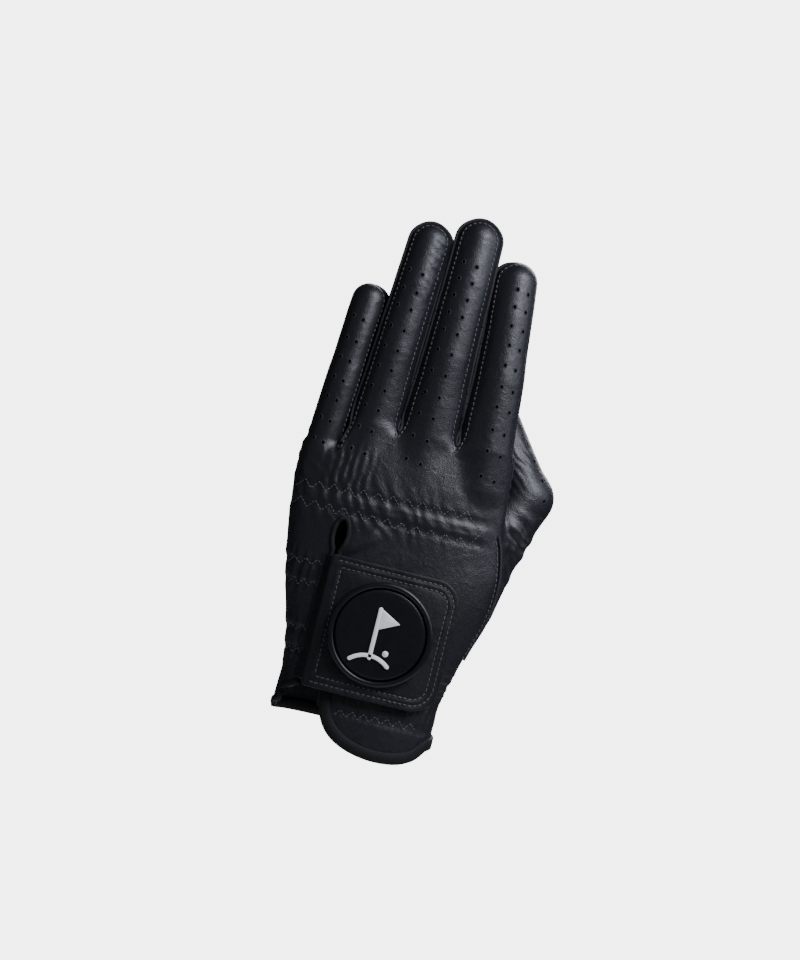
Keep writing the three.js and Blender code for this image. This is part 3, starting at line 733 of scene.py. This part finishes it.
def on_skin(points, step, lift, rounds=2):
    """A path over the leather through these points: dense, smooth, with normals and regions."""
    p = evenly(spline(points, step), step)
    for _ in range(rounds):
        p = onto(shape, p, 2)
        p[1:-1] = 0.5 * p[1:-1] + 0.25 * (p[:-2] + p[2:])
    base = onto(shape, p, 3)
    out, n = skin(base, lift)
    return out, n, region_of(base)


def radius_at(name, z):
    crotch, middle, end, tip, r = FINGERS[name]
    return np.interp(z, [crotch[2], middle[2], end[2], tip[2]], r)


def axis_at(name, z):
    crotch, middle, end, tip, _ = FINGERS[name]
    zs = [q[2] for q in (crotch, middle, end, tip)]
    return np.stack([np.interp(z, zs, [q[i] for q in (crotch, middle, end, tip)]) for i in (0, 1)], -1)


def side_points(name, side, angle, low=5.0):
    """Up a finger's side from its crotch to its tip's centre, at an angle to the back (palm: negative)."""
    crotch, tip = FINGERS[name][0], FINGERS[name][3]
    a = math.radians(angle)
    z = np.linspace(crotch[2] + low, tip[2] - 2, 12)
    r = radius_at(name, z)
    at = axis_at(name, z)
    return np.stack([at[:, 0] + side * r * math.cos(a), at[:, 1] - r * math.sin(a), z], -1)


def tip_points(name, angle, start, stop, count=7):
    """Over a fingertip, from start to stop degrees, counted from the thumb side."""
    tip, r = V(FINGERS[name][3], float), FINGERS[name][4][3]
    a = math.radians(angle)
    t = np.radians(np.linspace(start, stop, count))
    return np.stack([tip[0] + r * math.cos(a) * np.cos(t), tip[1] - r * math.sin(a) + 0 * t,
                     tip[2] + r * math.cos(a) * np.sin(t)], -1)


def gap_seam(angle, drop):
    """The seam that runs up and down the fingers' sides and round the ring and middle fingertips."""
    sign = 1 if angle > 0 else -1
    parts = [tip_points("little", angle, 80, 15, 4), side_points("little", 1, angle)[::-1]]
    for left, right in (("little", "ring"), ("ring", "middle"), ("middle", "index")):
        low = max(FINGERS[left][0][2], FINGERS[right][0][2]) if left != "little" else 118
        x = (axis_at(left, low)[0] + radius_at(left, low) + axis_at(right, low)[0]
             - radius_at(right, low)) / 2
        deep = 3.0 if left == "little" and sign < 0 else 0.0
        parts.append(V([[x, -sign * (6.5 + deep + drop * 0.3), low - 1.5 - drop - 1.6 * deep]]))
        parts.append(side_points(right, -1, angle, 5.0 if left != "little" else 6.0))
        if right == "index":
            parts.append(tip_points("index", angle, 165, 100, 4))
        else:
            parts.append(tip_points(right, angle, 165, 15, 9))
            parts.append(side_points(right, 1, angle)[::-1])
    return np.vstack(parts)


FLANGE = [(-0.5, -0.5), (-0.55, 0.55), (-0.3, 0.85), (-0.02, 0.62), (0.26, 0.88), (0.55, 0.55), (0.5, -0.5)]

for angle, inner, drop in ((13, 34, 2.2), (-26, -46, 2.0)):
    path, n, where = on_skin(gap_seam(angle, 0), 0.9, 0.1)
    swept(path, n, lambda s: [(u, v * smooth(0, 0.012, s) * smooth(1, 0.988, s) if v > 0 else v)
                              for u, v in FLANGE],
          AN_EDGE, where)
    path, n, _ = on_skin(gap_seam(inner, drop), 0.6, 0.12)
    stitched(path, n, 2.05, 1.5)

# The seam on the thumb side between the back and the palm, and the seam that sets the thumb in.
side_seam = [[39, -6, 96], [41.4, -5, 90], [43.2, -4, 80], [42.6, -3, 67], [39.6, -3, 55], [36.4, -3, 46]]
path, n, where = on_skin(side_seam, 0.8, 0.1)
swept(path, n, FLANGE, AN_EDGE, where)
path, n, _ = on_skin([[x - 1.6, y - 1.2, z] for x, y, z in side_seam], 0.6, 0.12)
stitched(path, n, 2.05, 1.5)
thumb_seam = [[40, 4, 106], [33, 14, 104], [23, 19, 97], [17, 21, 84], [17, 22, 70], [22, 22, 58],
              [31, 17, 48], [36, 8, 45]]
path, n, where = on_skin(thumb_seam, 0.8, 0.1)
swept(path, n, [(-0.35, -0.4), (-0.38, 0.12), (0, 0.3), (0.38, 0.12), (0.35, -0.4)], AN_EDGE, where)
for shift in (-1.5, 1.5):
    moved = V(thumb_seam) + V([shift, 0, 0])
    path, n, _ = on_skin(moved, 0.6, 0.1)
    stitched(path, n, 2.05, 1.5)


def over(x, z, side=-1, lift=0.0):
    """The leather's surface over (x, z), traced in along y, and its normal."""
    p = np.stack([x, np.full_like(x, side * 45.0), z], -1)
    for _ in range(40):
        p[:, 1] = np.clip(p[:, 1] - side * shape(p) * 0.9, -45, 45)
    missed = np.abs(shape(p)) > 0.1
    if missed.any():
        p[missed] = onto(shape, np.stack([x, np.full_like(x, side * 3.0), z], -1)[missed], 5)
    n = gradient(shape, p)
    return p + n * (folds(p) + lift)[:, None], n, p


def zigzag(start, stop, pitch, height):
    """Rounded zigzag points in x, z from start to stop."""
    start, stop = V(start, float), V(stop, float)
    length = np.linalg.norm(stop - start)
    count = int(round(length / pitch))
    t = np.linspace(0, 1, count * 16 + 1)
    phase = (t * count) % 1
    wave = 1 - 4 * np.abs(phase - 0.5)
    wave = np.sign(wave) * np.abs(wave) ** 0.85
    line = start + t[:, None] * (stop - start)
    line[:, 1] += height * wave
    return line


# Zigzag stitching over the elastics.
rows = [((-42.6, 98.0), (27, 101.0), 5.8, 1.5), ((-42.6, 91.0), (27, 90.2), 5.8, 1.5),
        ((-38.5, 68.2), (-25, 69.6), 4.4, 1.1), ((-36.5, 60.4), (-25, 61.2), 4.4, 1.1),
        ((-33.5, 43.0), (-25, 43.8), 4.2, 1.1), ((-31.5, 34.4), (-25, 34.8), 4.2, 1.1),
        ((-7, 15.4), (25, 16.6), 4.6, 1.2)]
for start, stop, pitch, height in rows:
    line = zigzag(start, stop, pitch, height)
    if start[1] > 90:
        end = V([[31.8, 96.0]])
        line = np.vstack([line, line[-1:] * 0.5 + end * 0.5, end])
    path, n, _ = over(line[:, 0], line[:, 1], -1, 0.1)
    stitched(path, n, 1.55, 1.25, "hand", 0.85)
for z in (26.6, 33.4):
    line = zigzag((-24, z), (24, z), 4.6, 1.2)
    path, n, _ = over(line[:, 0], line[:, 1], 1, 0.1)
    stitched(path, n, 1.55, 1.25, "hand", 0.85)

# Ventilation holes, in pairs down each finger's back.
def hole_rows():
    pairs = {
        "index": ([191, 184, 176.5, 169, 161, 152.5, 144.5, 135.5, 127, 117],
                  [22.5, 23, 23.5, 24.5, 24.8, 25.5, 25.5, 26, 26, 26],
                  [27, 27.7, 28.5, 29, 29.2, 30.2, 30.8, 31, 31.5, 31.5]),
        "middle": ([196.5, 189.7, 183, 176, 169, 160.8, 152.3, 143.5, 135, 126, 116.7],
                   np.linspace(-0.5, -3.7, 11), np.linspace(5, 2.2, 11)),
        "ring": ([188.5, 181, 174, 165.5, 157.3, 149.3, 141, 133, 124.5, 115.5],
                 np.linspace(-20.3, -25.3, 10), np.linspace(-14.8, -19.8, 10)),
        "little": ([166, 157, 149, 141, 133, 124.5, 116], np.linspace(-37.0, -40.5, 7),
                   np.linspace(-33.0, -36.5, 7))}
    out = []
    for heights, lefts, rights in pairs.values():
        for z, a, b in zip(heights, lefts, rights):
            out += [(a, z), (b, z - 1.0)]
    return out + [(45.7, 128), (49.3, 129.5), (50.5, 121.3), (53, 113.5), (53.5, 106)]


holes = V(hole_rows(), float)
centres, hole_normals, hole_base = over(holes[:, 0], holes[:, 1])
hole_regions = region_of(hole_base)
for centre, n, where in zip(centres, hole_normals, hole_regions):
    u = np.cross(n, [0, 0, 1.0])
    u /= np.linalg.norm(u)
    v = np.cross(n, u)
    ring = np.linspace(0, 2 * math.pi, 15)[:-1]
    profile = ((1.15, -0.10), (0.90, 0.10), (0.74, 0.14), (0.62, 0.06))
    points = [centre + r * (np.cos(t) * u * 0.92 + np.sin(t) * v * 1.1) + h * n for r, h in profile
              for t in ring]
    m = len(ring)
    faces = [[i * m + j, i * m + (j + 1) % m, (i + 1) * m + (j + 1) % m, (i + 1) * m + j]
             for i in range(len(profile) - 1) for j in range(m)]
    put(REGIONS[where], V(points), faces, AN_EDGE)
    # The dark disc in the hole is painted shade.
    put(REGIONS[where], V(points[-m:]), [list(range(m))], A_HOLE_SHADE)


def band(half, inside, outside):
    """A tape's section: it wraps an edge of the leather from inside to outside."""
    h, a, b = half, -inside, outside
    r = 0.35
    return [(-h, a + r), (-h + r, a), (h - r, a), (h, a + r), (h, b - r), (h - r, b), (0, b + 0.06),
            (-h + r, b), (-h, b - r)]


# One tape round the hem: the back's lower edge, the thumb side, the palm and up the strip.
back_line = spline([[-12.2, 27], [-10.9, 15.5], [-7.0, 8.9], [0.5, 4.3], [11, 2.3], [21, 3.5], [27.2, 6.4]],
                   1.0)
_, _, back_base = over(back_line[:, 0], back_line[:, 1])
turn = np.radians(np.linspace(-22, 202, 70))
left, right, back_y, palm_y = hand_at(12.0)
arc = np.stack([(left + right) / 2
                + (right - left) / 2 * np.sign(np.cos(turn)) * np.abs(np.cos(turn)) ** 0.8,
                palm_y * np.sign(np.sin(turn)) * np.abs(np.sin(turn)) ** 0.8,
                np.interp(turn, [turn[0], 0.1, 3.0, turn[-1]],
                          [10.2, 12.0, 12.2, 15.5])], -1)
strip_line = spline([[-30.2, 18.9], [-26, 21.9], [-23.0, 23.6]], 1.0)
_, _, strip_base = over(strip_line[:, 0], strip_line[:, 1])
hem = evenly(spline(np.vstack([back_base[::3], arc[::4], strip_base[::2]]), 1.0), 1.0)
for _ in range(6):
    hem[1:-1] = 0.5 * hem[1:-1] + 0.25 * (hem[:-2] + hem[2:])
hem_n = gradient(shape, hem)
hem_n[:, 2] = 0
hem_n /= np.linalg.norm(hem_n, axis=1, keepdims=True)
hem_skin = onto(shape, hem, 3) + hem_n * 0.05
swept(hem_skin, hem_n, lambda s: band(2.3 if s < 0.84 else 1.3, 1.7, 0.75), A_TAPE,
      ["hand"] * len(hem_skin))

# The tape round the slit and its keyhole.
ellipse = np.radians(np.linspace(-62, 236, 26))
outline = np.vstack([
    [[slit_right(z) + 0.5, z] for z in np.linspace(24, 75.5, 12)],
    np.stack([-21.2 + 3.0 * np.cos(ellipse), 82 + 6.7 * np.sin(ellipse)], -1),
    [[SLIT_LEFT - 0.5, z] for z in np.linspace(75.5, 24, 12)]])
line = evenly(spline(outline, 0.8), 0.8)
path, n, _ = over(line[:, 0], line[:, 1])
swept(path, n, band(0.95, 1.6, 0.6), A_TAPE, ["hand"] * len(path))

# ---- The closing tab ---------------------------------------------------------------------------------

TAB = (-22.3, 30.0, 22.5, 74.5)
CORNER = 10.0


def smooth_back(x, z):
    """The back of the hand under the tab, without its folds."""
    left, right, back_y, _ = hand_at(z)
    t = np.clip(np.abs(x - (left + right) / 2) / ((right - left) / 2), 0, 0.97)
    return back_y * (1 - t ** 2.5) ** 0.4


def tab_outline(inset, count=260):
    x0, x1, z0, z1 = TAB[0] + inset, TAB[1] - inset, TAB[2] + inset, TAB[3] - inset
    r = max(CORNER - inset, 1.2)
    rl = max(1.6 - inset * 0.2, 0.8)
    corners = [(x1 - r, z0 + r, r, -90, 0), (x1 - r, z1 - r, r, 0, 90), (x0 + rl, z1 - rl, rl, 90, 180),
               (x0 + rl, z0 + rl, rl, 180, 270)]
    points = []
    for cx, cz, radius, a, b in corners:
        for t in np.radians(np.linspace(a, b, 13)):
            points.append([cx + radius * math.cos(t), cz + radius * math.sin(t)])
    points.append(points[0])
    return evenly(points, 0.01 + np.linalg.norm(np.diff(points, axis=0), axis=1).sum() / count)[:-1]


def tab_height(x, z, inset):
    """How far the tab's leather stands off the smooth back."""
    p = np.stack([x, 0 * x, z], -1)
    rows_ = np.exp(-((inset - 2.1) / 0.55) ** 2) + np.exp(-((inset - 4.6) / 0.55) ** 2)
    rows_ = rows_ * smooth(TAB[0] + 1.5, TAB[0] + 4, x)
    return (4.25 + 0.14 * noise(p, 9.0, 21) + 0.07 * noise(p, 3.0, 22) - 0.22 * rows_
            + 0.12 * np.exp(-((inset - 3.35) / 0.5) ** 2))


def tab_leather():
    insets = [0.0, 0.12, 0.45, 1.0, 1.6, 2.1, 2.6, 3.3, 4.0, 4.6, 5.2, 6.2, 7.6, 9.4, 11.5, 14, 17, 20,
              22.5]
    rings, count = [], 260
    flat = [tab_outline(i, count)[:count] for i in insets]
    count = min(len(f) for f in flat)
    for f, inset in zip(flat, insets):
        f = f[:count]
        y = smooth_back(f[:, 0], f[:, 1])
        drop = 0.35 if inset == 0 else (0.1 if inset < 0.2 else 0)
        rings.append(np.stack([f[:, 0], y - tab_height(f[:, 0], f[:, 1], inset) + drop, f[:, 1]], -1))
    under = []
    for f, inset, off in ((flat[0], 0.0, 3.35), (flat[2], 0.4, 3.15), (flat[6], 2.6, 3.1),
                          (flat[12], 7.6, 3.1), (flat[-1], 22.5, 3.1)):
        f = f[:count]
        under.append(np.stack([f[:, 0], smooth_back(f[:, 0], f[:, 1]) - off, f[:, 1]], -1))
    rings = under[::-1] + rings
    points = np.vstack(rings)
    faces = [[i * count + j, i * count + (j + 1) % count, (i + 1) * count + (j + 1) % count,
              (i + 1) * count + j]
             for i in range(len(rings) - 1) for j in range(count)]
    faces.append([(len(rings) - 1) * count + j for j in range(count)])
    faces.append(list(range(count))[::-1])
    kinds = [1] * (count * 3) + [0] * (len(faces) - 3 * count)
    return points, faces, kinds


points, faces, kinds = tab_leather()
tab = made("tab_leather_soft", points, faces, [SHADED_TAB_LEATHER, SUEDE], kinds)
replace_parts(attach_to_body(tab, "tab"), "tab_leather", "tab_lining")

for inset in (2.1, 4.6):
    ring = tab_outline(inset)
    # Stitches leave out the hinge side.
    start = int(np.argmin(np.abs(ring[:, 0] - TAB[0] - 3) + np.abs(ring[:, 1] - TAB[2] - inset)))
    ring = np.roll(ring, -start, axis=0)
    ring = ring[ring[:, 0] > TAB[0] + 2.6]
    y = (smooth_back(ring[:, 0], ring[:, 1])
         - tab_height(ring[:, 0], ring[:, 1], V([inset] * len(ring))) - 0.05)
    path = np.stack([ring[:, 0], y, ring[:, 1]], -1)
    slope = (smooth_back(ring[:, 0] + 0.5, ring[:, 1]) - smooth_back(ring[:, 0] - 0.5, ring[:, 1]))
    n = np.stack([slope, -np.ones(len(ring)), 0 * slope], -1)
    stitched(path, n / np.linalg.norm(n, axis=1, keepdims=True), 2.05, 1.5, "tab")

# The fold of leather that joins the tab to the strip beside the slit.
xs = np.linspace(-26.0, -19.6, 15)
zs = np.linspace(24.5, 73.5, 60)
share = smooth(-25.4, -21.8, xs)
rows_ = []
for z in zs:
    zz = np.full(len(xs), z)
    low, _, _ = over(xs, zz, -1, 0.25)
    top = smooth_back(xs, zz) - 3.0
    rows_.append(np.stack([xs, low[:, 1] * (1 - share) + top * share, zz], -1))
rows_ = V(rows_)
under = rows_ + V([0, 0.7, 0])
m = len(xs)
points = np.vstack([rows_.reshape(-1, 3), under.reshape(-1, 3)])
offset = len(zs) * m
faces = [[i * m + j, i * m + j + 1, (i + 1) * m + j + 1, (i + 1) * m + j] for i in range(len(zs) - 1)
         for j in range(m - 1)]
faces += [[v + offset for v in f[::-1]] for f in list(faces)]
rim = ([j for j in range(m)] + [i * m + m - 1 for i in range(1, len(zs))]
       + [(len(zs) - 1) * m + j for j in range(m - 2, -1, -1)]
       + [i * m for i in range(len(zs) - 2, 0, -1)])
faces += [[rim[(i + 1) % len(rim)], rim[i], rim[i] + offset, rim[(i + 1) % len(rim)] + offset]
          for i in range(len(rim))]
hinge = made("tab_fold", points, faces, [SHADED_TAB_LEATHER])
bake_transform(hinge)

# ---- The badge ---------------------------------------------------------------------------------------

BADGE_X, BADGE_Z = 3.0, 48.5
FACE_Y = -(16 + 4.4 + 2.6)


def turned(name, profile, material_, segments=128):
    """A shape turned about the badge's axis from (radius, height over its face) pairs."""
    points, faces = [], []
    for r, h in profile:
        for j in range(segments):
            a = 2 * math.pi * j / segments
            points.append([BADGE_X + r * math.cos(a), FACE_Y - h, BADGE_Z + r * math.sin(a)])
    for i in range(len(profile) - 1):
        for j in range(segments):
            k = (j + 1) % segments
            faces.append([i * segments + j, i * segments + k, (i + 1) * segments + k,
                          (i + 1) * segments + j])
    for first in (0, (len(profile) - 1) * segments):
        if profile[first // segments][0] > 0.5:
            faces.append([first + j for j in range(segments)][::-1] if first == 0
                         else [first + j for j in range(segments)])
    return made(name, points, faces, [material_])


rim_profile = [(20.2, -3.4), (20.25, -1.2), (20.15, -0.6), (19.85, -0.2), (19.35, 0.0), (18.75, 0.0),
               (18.35, -0.15),
               (18.1, -0.5), (18.0, -0.95), (17.95, -3.0)]
badge_rim = turned("badge_rim_moulded", rim_profile[::-1], RUBBER)
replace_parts(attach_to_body(badge_rim, "tab"), "badge_rim")
disc_profile = [(0.6, -0.72), (6, -0.72), (12, -0.74), (16, -0.78), (16.9, -0.84), (17.4, -1.05),
                (17.6, -1.5), (17.6, -3.2)]
badge_disc = turned("badge_disc_moulded", disc_profile, RUBBER)
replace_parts(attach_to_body(badge_disc, "tab"), "badge_disc")


def raised(outline, low, high, bevel=0.22):
    """A flat motif with a rounded edge, from a closed outline in x, z."""
    p = V(outline, float)
    n = len(p)
    edge = np.roll(p, -1, 0) - np.roll(p, 1, 0)
    inward = np.stack([-edge[:, 1], edge[:, 0]], -1)
    inward /= np.maximum(np.linalg.norm(inward, axis=1, keepdims=True), 1e-9)
    rings = [(0, low), (0, high - bevel), (bevel * 0.3, high - bevel * 0.3), (bevel, high)]
    points = np.vstack([np.stack([(p + inward * i)[:, 0] + BADGE_X, np.full(n, FACE_Y - h),
                                  (p + inward * i)[:, 1] + BADGE_Z], -1)
                        for i, h in rings])
    faces = [[i * n + j, i * n + (j + 1) % n, (i + 1) * n + (j + 1) % n, (i + 1) * n + j] for i in range(3)
             for j in range(n)]
    faces += [[3 * n + j for j in range(n)], list(range(n))[::-1]]
    return points, faces


def stroke(line, width, count=10):
    """The outline of a line drawn with a round pen."""
    line = evenly(line, 0.35)
    d = np.gradient(line, axis=0)
    d /= np.linalg.norm(d, axis=1, keepdims=True)
    side = np.stack([d[:, 1], -d[:, 0]], -1) * width / 2
    a0, a1 = math.atan2(d[-1][1], d[-1][0]), math.atan2(d[0][1], d[0][0])
    cap = [line[-1] + width / 2 * V([math.cos(a0 + t), math.sin(a0 + t)])
           for t in np.linspace(-1.35, 1.35, count)]
    cap2 = [line[0] + width / 2 * V([math.cos(a1 + t), math.sin(a1 + t)])
            for t in np.linspace(math.pi - 1.35, math.pi + 1.35, count)]
    return np.vstack([line + side, cap, (line - side)[::-1], cap2])


motif_points, motif_faces = [], []
pennant = evenly([[-1.2, 1.8], [6.6, 5.6], [-1.2, 9.8], [-1.2, 1.8]], 0.5)[:-1]
green = [[11.2 * math.cos(t) - 2, 11.2 * math.sin(t) - 19.8] for t in np.linspace(math.pi - 0.85, 0.85, 30)]
for shape_ in (stroke([[-2, -9.4], [-2, 9.6]], 1.7), pennant, stroke(green[::-1], 1.6),
               stroke([[3.6, -6.6], [3.61, -6.59]], 2.4)):
    count = sum(len(q) for q in motif_points)
    points, faces = raised(shape_, -0.75, -0.06)
    motif_points.append(points)
    motif_faces += [[v + count for v in f] for f in faces]
flag = made("badge_flag_raised", np.vstack(motif_points), motif_faces, [WHITE])
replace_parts(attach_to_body(flag, "tab"), "badge_flag")

for region, bin_ in BINS.items():
    kinds = V(bin_["kinds"])
    present = sorted(set(bin_["kinds"]))
    piece = made(f"seams_{region}", np.vstack(bin_["points"]), bin_["faces"],
                 [DETAIL_MATERIALS[k] for k in present],
                 np.searchsorted(present, kinds))
    attach(piece, region)

for name, finish in (("loop_pad", LOOPS), ("hook_pad", HOOKS)):
    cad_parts[name].data.materials.clear()
    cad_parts[name].data.materials.append(finish)
for name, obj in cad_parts.items():
    if "elastic" in name:
        obj.data.materials.clear()
        obj.data.materials.append(ELASTIC)

# ---- Camera, light and floor -------------------------------------------------------------------------

def stage():
    scene = bpy.context.scene
    camera = bpy.data.objects.new("camera", bpy.data.cameras.new("camera"))
    scene.collection.objects.link(camera)
    camera.data.lens = 120
    camera.data.sensor_width = 36
    far = 0.3744 * 120 / 36
    camera.location = (-0.004, -far, 0.108)
    roll = math.radians(14)
    right = Vector((math.cos(roll), 0, math.sin(roll)))
    up = Vector((-math.sin(roll), 0, math.cos(roll)))
    back = right.cross(up)
    camera.matrix_world = Matrix((
        (right.x, up.x, back.x, camera.location.x), (right.y, up.y, back.y, camera.location.y),
        (right.z, up.z, back.z, camera.location.z), (0, 0, 0, 1)))
    scene.camera = camera
    world = bpy.data.worlds.new("world")
    scene.world = world
    world.use_nodes = True
    tree = world.node_tree
    output = tree.nodes["World Output"]
    seen = node(tree, "ShaderNodeBackground", {0: (1, 1, 1, 1), 1: 5.0})
    dim = node(tree, "ShaderNodeBackground", {0: (0.88, 0.93, 1, 1), 1: 0.06})
    path_ = node(tree, "ShaderNodeLightPath")
    mix = node(tree, "ShaderNodeMixShader",
               {0: path_.outputs["Is Camera Ray"], 1: dim.outputs[0], 2: seen.outputs[0]})
    tree.links.new(mix.outputs[0], output.inputs["Surface"])
    for name, place, size, power, colour in (
            ("key", (0.28, -0.34, 0.52), 0.30, 6.0, (0.88, 0.91, 1)),
            ("side", (0.80, -0.15, 0.50), 0.45, 2.5, (0.86, 0.90, 1)),
            ("fill", (-0.9, -0.7, 0.2), 0.8, 0.6, (0.90, 0.93, 1)),
            ("rim", (0.2, 0.8, 0.6), 0.6, 7, (0.92, 0.94, 1))):
        light = bpy.data.lights.new(name, "AREA")
        light.size, light.energy, light.color = size, power, colour
        lamp = bpy.data.objects.new(name, light)
        scene.collection.objects.link(lamp)
        lamp.location = place
        lamp.rotation_euler = (Vector((0, 0, 0.12)) - Vector(place)).to_track_quat("-Z", "Y").to_euler()
    bpy.ops.mesh.primitive_circle_add(vertices=96, radius=0.6, fill_type="NGON", location=(0, 0, -0.26))
    floor = bpy.context.object
    floor.name = "floor"
    floor.data.materials.append(material("pale_floor", (0.82, 0.82, 0.81), 0.9, fuzzy_nodes(4.0, 0.0002)))


stage()
